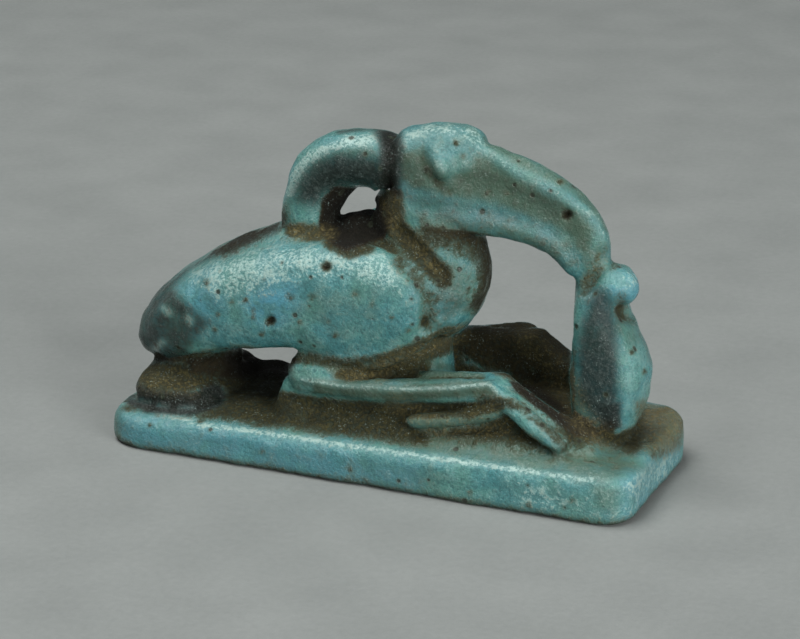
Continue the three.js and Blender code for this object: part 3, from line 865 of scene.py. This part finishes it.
def wipe_clean(skin):
    """Raised glaze that the dirt didn't keep to."""
    near_leg = [(286, 366), (300, 363), (320, 372), (343, 381), (400, 385), (488, 379)]
    near_leg += [(506, 392), (480, 400), (400, 402), (292, 395)]
    hind_toe = [(408, 416), (440, 406), (498, 399), (510, 412), (480, 426), (430, 431), (410, 428)]
    lower_beak = [(405, 200), (480, 208), (560, 232), (575, 262), (520, 240), (410, 230)]
    near_toe = [(498, 394), (515, 395), (545, 420), (567, 441), (560, 451), (540, 441), (515, 420)]
    inner_toe = [(508, 385), (530, 390), (565, 414), (600, 424), (600, 433), (560, 424), (525, 400)]
    bulge = [(613, 318), (640, 330), (657, 360), (653, 392), (635, 426), (615, 434), (624, 400), (624, 340)]
    beak_side = [(445, 150), (490, 145), (560, 190), (600, 225), (590, 250), (540, 225), (450, 205)]
    plinth_corner = [(430, 434), (500, 442), (560, 450), (600, 442), (640, 458)]
    plinth_corner += [(655, 470), (600, 486), (500, 466), (430, 452)]
    wing_below = [(210, 340), (300, 345), (385, 340), (420, 325), (420, 336), (388, 353)]
    wing_below += [(350, 358), (300, 354), (215, 353)]
    skin.paint_layer("dirt_and_shade", -0.7, [near_leg], blur=0.5)
    skin.paint_layer("dirt_and_shade", -0.75, [hind_toe], blur=0.6)
    skin.paint_layer("dirt_and_shade", -0.7, [near_toe], blur=0.4)
    skin.paint_layer("dirt_and_shade", -0.4, [inner_toe], blur=0.35)
    skin.paint_layer("dirt_and_shade", -0.7, [beak_side], blur=0.8)
    skin.paint_layer("dirt_and_shade", -0.9, [bulge], blur=0.5)
    skin.paint_layer("dirt_and_shade", -0.6, [wing_below], blur=0.5)
    skin.paint_layer("dirt_and_shade", -0.65, [plinth_corner], blur=1.2)
    skin.paint_layer("pale_wear_and_highlight", -0.8, [lower_beak, hind_toe, near_leg], blur=0.8)


def store_layers(skin):
    """Keeps the colour layers, painted shade and painted highlights included, as two colour attributes on
    the skin.
    """
    empty = np.zeros(len(skin.places))
    sets = {"stains_and_shade": ("black_glaze_and_shade", "dirt_and_shade", "gold"), "tints_and_highlights": ("pale_wear_and_highlight", "blue", "olive")}
    for name, layers in sets.items():
        colours = np.ones((len(skin.places), 4), np.float32)
        for channel, layer in enumerate(layers):
            colours[:, channel] = skin.averaged(skin.layers.get(layer, empty), 1)
        attribute = skin.mesh.color_attributes.new(name, "FLOAT_COLOR", "POINT")
        attribute.data.foreach_set("color", colours.ravel())


def add(nodes, kind, **settings):
    node = nodes.new(kind)
    for name, value in settings.items():
        if name in node.inputs:
            node.inputs[name].default_value = value
        else:
            setattr(node, name, value)
    return node


def glaze_material():
    material = bpy.data.materials.new("turquoise_glaze")
    material.use_nodes = True
    nodes = material.node_tree.nodes
    link = material.node_tree.links.new
    shader = nodes["Principled BSDF"]
    coords = add(nodes, "ShaderNodeTexCoord").outputs["Object"]

    def noise(size, detail, rough=0.55):
        """A noise whose features are about the size, in mm."""
        made = nodes.new("ShaderNodeTexNoise")
        made.inputs["Scale"].default_value = 1.0 / (size * MM)
        made.inputs["Detail"].default_value = detail
        made.inputs["Roughness"].default_value = rough
        link(coords, made.inputs["Vector"])
        return made.outputs["Fac"]

    def rise(value, low, high, bottom=0.0, top=1.0):
        """Stretches a value between two levels, clamped."""
        made = nodes.new("ShaderNodeMapRange")
        made.interpolation_type = "SMOOTHSTEP"
        made.inputs["From Min"].default_value = low
        made.inputs["From Max"].default_value = high
        made.inputs["To Min"].default_value = bottom
        made.inputs["To Max"].default_value = top
        link(value, made.inputs["Value"])
        return made.outputs["Result"]

    def sums(operation, one, other):
        made = nodes.new("ShaderNodeMath")
        made.operation = operation
        for socket, value in zip(made.inputs, (one, other)):
            if isinstance(value, float):
                socket.default_value = value
            else:
                link(value, socket)
        return made.outputs[0]

    def blend(amount, under, over):
        made = nodes.new("ShaderNodeMix")
        made.data_type = "RGBA"
        made.clamp_factor = True
        link(amount, made.inputs[0])
        for socket, value in zip((made.inputs[6], made.inputs[7]), (under, over)):
            if isinstance(value, tuple):
                socket.default_value = (*value, 1.0)
            else:
                link(value, socket)
        return made.outputs[2]

    def layers(name):
        made = nodes.new("ShaderNodeAttribute")
        made.attribute_name = name
        split = nodes.new("ShaderNodeSeparateColor")
        link(made.outputs["Color"], split.inputs["Color"])
        return split.outputs

    black_glaze_and_shade, dirt_and_shade, gold = layers("stains_and_shade")
    pale_wear_and_highlight, blue, olive = layers("tints_and_highlights")

    drift = noise(3.2, 3.0)
    mottle = noise(1.1, 5.0, 0.6)
    blotch = noise(0.55, 3.0, 0.6)
    grain = noise(0.24, 4.0, 0.7)
    specks = noise(0.13, 2.0)

    def off_middle(value, weight):
        return sums("MULTIPLY", sums("SUBTRACT", value, 0.5), weight)

    ragged = sums("ADD", off_middle(mottle, 0.6), off_middle(blotch, 0.45))
    ragged = sums("ADD", ragged, off_middle(grain, 1.0))

    glaze = blend(rise(drift, 0.40, 0.60), (0.058, 0.218, 0.228), (0.084, 0.238, 0.202))
    glaze = blend(rise(mottle, 0.44, 0.64, 0.0, 0.6), glaze, (0.136, 0.312, 0.298))
    glaze = blend(rise(blotch, 0.34, 0.52, 0.45, 0.0), glaze, (0.048, 0.145, 0.145))
    glaze = blend(rise(grain, 0.36, 0.52, 0.65, 0.0), glaze, (0.038, 0.115, 0.115))
    glaze = blend(rise(grain, 0.54, 0.68, 0.0, 0.45), glaze, (0.190, 0.370, 0.345))
    glaze = blend(sums("MULTIPLY", blue, rise(mottle, 0.36, 0.56, 0.3, 1.0)), glaze, (0.070, 0.280, 0.390))
    greenish = rise(sums("ADD", olive, off_middle(mottle, 0.8)), 0.05, 1.00, 0.0, 0.86)
    glaze = blend(greenish, glaze, (0.060, 0.098, 0.060))
    crust = sums("ADD", off_middle(mottle, 1.3), off_middle(grain, 2.4))
    # Pale wear and painted highlights: the pale layer lightens the glaze and, where strong, breaks into a
    # pale crust.
    glaze = blend(rise(pale_wear_and_highlight, 0.0, 1.0, 0.0, 0.35), glaze, (0.140, 0.290, 0.272))
    worn_and_highlit = rise(sums("ADD", pale_wear_and_highlight, crust), 0.60, 1.10, 0.0, 0.9)
    glaze = blend(worn_and_highlit, glaze, (0.330, 0.475, 0.430))

    # Dirt film and earth. The layer also carries painted shade below the head, the chest, the body and the
    # leg.
    film = rise(sums("ADD", dirt_and_shade, ragged), 0.02, 0.75, 0.0, 0.8)
    surface = blend(film, glaze, (0.060, 0.070, 0.030))
    dirt = rise(sums("ADD", dirt_and_shade, ragged), 0.38, 1.05)
    earth = blend(rise(grain, 0.42, 0.64), (0.010, 0.008, 0.003), (0.062, 0.053, 0.017))
    earth = blend(rise(mottle, 0.46, 0.62, 0.0, 0.5), earth, (0.038, 0.037, 0.013))
    surface = blend(sums("MULTIPLY", dirt, 0.95), surface, earth)

    # Black glaze, and painted shade under the body, in the hole and by the far leg, darken to slate and
    # near black.
    black = rise(sums("ADD", black_glaze_and_shade, sums("MULTIPLY", ragged, 0.6)), 0.12, 0.88)
    slate = blend(rise(grain, 0.44, 0.64), (0.012, 0.014, 0.012), (0.038, 0.050, 0.045))
    slate = blend(rise(blotch, 0.52, 0.66, 0.0, 0.5), slate, (0.052, 0.074, 0.069))
    earthy = rise(sums("ADD", dirt_and_shade, off_middle(grain, 1.5)), 0.45, 0.95)
    slate = blend(earthy, slate, (0.020, 0.015, 0.007))
    slate = blend(rise(black_glaze_and_shade, 0.84, 1.00, 0.0, 0.92), slate, (0.007, 0.006, 0.004))
    surface = blend(sums("MULTIPLY", black, 0.95), surface, slate)

    surface = blend(sums("MULTIPLY", gold, 0.6), surface, (0.108, 0.094, 0.042))
    grit = sums("MULTIPLY", gold, rise(grain, 0.48, 0.64))
    surface = blend(grit, surface, (0.190, 0.155, 0.062))
    fleck = sums("MULTIPLY", rise(specks, 0.60, 0.70), rise(mottle, 0.46, 0.60))
    surface = blend(sums("MULTIPLY", fleck, 0.4), surface, (0.380, 0.500, 0.460))

    pore_spacing = 1.2 * MM
    pores = nodes.new("ShaderNodeTexVoronoi")
    pores.inputs["Scale"].default_value = 1.0 / pore_spacing
    link(coords, pores.inputs["Vector"])
    cell = nodes.new("ShaderNodeSeparateColor")
    link(pores.outputs["Color"], cell.inputs["Color"])
    pore_edge = sums("SUBTRACT", pores.outputs["Distance"], rise(cell.outputs[0], 0.45, 1.0, 0.0, 0.14))
    pinholes = rise(pore_edge, 0.0, 0.05)
    halo = rise(pore_edge, 0.0, 0.16, 0.55, 0.0)
    stained_pore = sums("MULTIPLY", halo, rise(cell.outputs[0], 0.60, 0.75))
    surface = blend(stained_pore, surface, (0.060, 0.080, 0.050))
    surface = blend(rise(pinholes, 0.0, 1.0, 0.75, 0.0), surface, (0.020, 0.020, 0.012))
    link(surface, shader.inputs["Base Color"])

    rough = rise(mottle, 0.35, 0.65, 0.13, 0.32)
    made_rough = nodes.new("ShaderNodeMix")
    made_rough.data_type = "FLOAT"
    link(dirt, made_rough.inputs[0])
    link(rough, made_rough.inputs[2])
    made_rough.inputs[3].default_value = 0.72
    link(made_rough.outputs[0], shader.inputs["Roughness"])
    shader.inputs["IOR"].default_value = 1.5
    matt = sums("MAXIMUM", black, dirt)
    link(rise(matt, 0.0, 1.0, 0.5, 0.2), shader.inputs["Specular IOR Level"])

    height = sums("ADD", sums("MULTIPLY", grain, 0.55), sums("MULTIPLY", mottle, 0.5))
    height = sums("ADD", height, sums("MULTIPLY", pinholes, 0.25))
    height = sums("ADD", height, sums("MULTIPLY", sums("MULTIPLY", grain, dirt), 0.9))
    bump = nodes.new("ShaderNodeBump")
    bump.inputs["Strength"].default_value = 1.0
    bump.inputs["Distance"].default_value = 0.00020
    link(height, bump.inputs["Height"])
    link(bump.outputs["Normal"], shader.inputs["Normal"])
    return material


def paper_material():
    material = bpy.data.materials.new("grey_paper")
    material.use_nodes = True
    nodes = material.node_tree.nodes
    link = material.node_tree.links.new
    shader = nodes["Principled BSDF"]
    coords = add(nodes, "ShaderNodeTexCoord").outputs["Object"]
    fibre_scale = 1600.0
    cloud_scale = 130.0
    fibres = add(nodes, "ShaderNodeTexNoise", Scale=fibre_scale, Detail=6.0, Roughness=0.7)
    clouds = add(nodes, "ShaderNodeTexNoise", Scale=cloud_scale, Detail=1.0)
    link(coords, fibres.inputs["Vector"])
    link(coords, clouds.inputs["Vector"])
    both = add(nodes, "ShaderNodeMath", operation="ADD")
    link(fibres.outputs["Fac"], both.inputs[0])
    link(clouds.outputs["Fac"], both.inputs[1])
    tone = nodes.new("ShaderNodeMapRange")
    tone.inputs["From Min"].default_value = 0.45
    tone.inputs["From Max"].default_value = 1.55
    link(both.outputs[0], tone.inputs["Value"])
    colour = nodes.new("ShaderNodeMix")
    colour.data_type = "RGBA"
    colour.inputs[6].default_value = (0.172, 0.186, 0.177, 1.0)
    colour.inputs[7].default_value = (0.232, 0.247, 0.236, 1.0)
    link(tone.outputs["Result"], colour.inputs[0])
    link(colour.outputs[2], shader.inputs["Base Color"])
    shader.inputs["Roughness"].default_value = 0.9
    bump = nodes.new("ShaderNodeBump")
    bump.inputs["Strength"].default_value = 0.35
    bump.inputs["Distance"].default_value = 0.00015
    link(fibres.outputs["Fac"], bump.inputs["Height"])
    link(bump.outputs["Normal"], shader.inputs["Normal"])
    return material


def lay_floor():
    bpy.ops.object.select_all(action="DESELECT")
    bpy.ops.mesh.primitive_plane_add(size=1.6, location=(0, 0, 0))
    floor = bpy.context.object
    floor.name = "paper_floor"
    floor.data.materials.append(paper_material())


def soft_light(name, place, size, power):
    bpy.ops.object.select_all(action="DESELECT")
    bpy.ops.object.light_add(type="AREA", location=place)
    light = bpy.context.object
    light.name = name
    light.data.shape = "RECTANGLE"
    light.data.size = size[0]
    light.data.size_y = size[1]
    light.data.energy = power
    toward = Vector(place) - LIT_SPOT
    light.rotation_euler = toward.to_track_quat("Z", "Y").to_euler()


def light_studio():
    """Daylight from above and the right, and a small light for the glints."""
    soft_light("overhead", (-0.12, -0.06, 0.44), (0.32, 0.28), 2.2)
    soft_light("glint", (-0.06, -0.20, 0.42), (0.03, 0.03), 0.25)
    soft_light("right_fill", (0.42, -0.24, 0.16), (0.30, 0.30), 2.6)
    soft_light("near_fill", (-0.06, -0.55, 0.14), (0.40, 0.24), 0.20)
    world = bpy.data.worlds.new("studio")
    bpy.context.scene.world = world
    world.use_nodes = True
    world.node_tree.nodes["Background"].inputs["Color"].default_value = (0.9, 0.95, 1.0, 1.0)
    world.node_tree.nodes["Background"].inputs["Strength"].default_value = 0.145
    bpy.context.scene.view_settings.view_transform = "Standard"


stand_camera()
lay_floor()
light_studio()

amulet = fine_skin()
skin = carve(amulet)
stay_in_box(skin)
skin.look_from_photograph()
paint_by_form(skin)
paint_black_and_shade(skin)
wipe_clean(skin)
paint_brown_and_shade(skin)
keep_jaw_clean(skin)
paint_olive_and_shade(skin)
stain_gold(skin)
paint_pale_and_highlights(skin)
paint_blue_and_lit_end(skin)
store_layers(skin)

amulet.data.materials.clear()
amulet.data.materials.append(glaze_material())
only(amulet)
bpy.ops.object.shade_smooth()
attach(amulet, "root")
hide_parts("ibis_amulet")
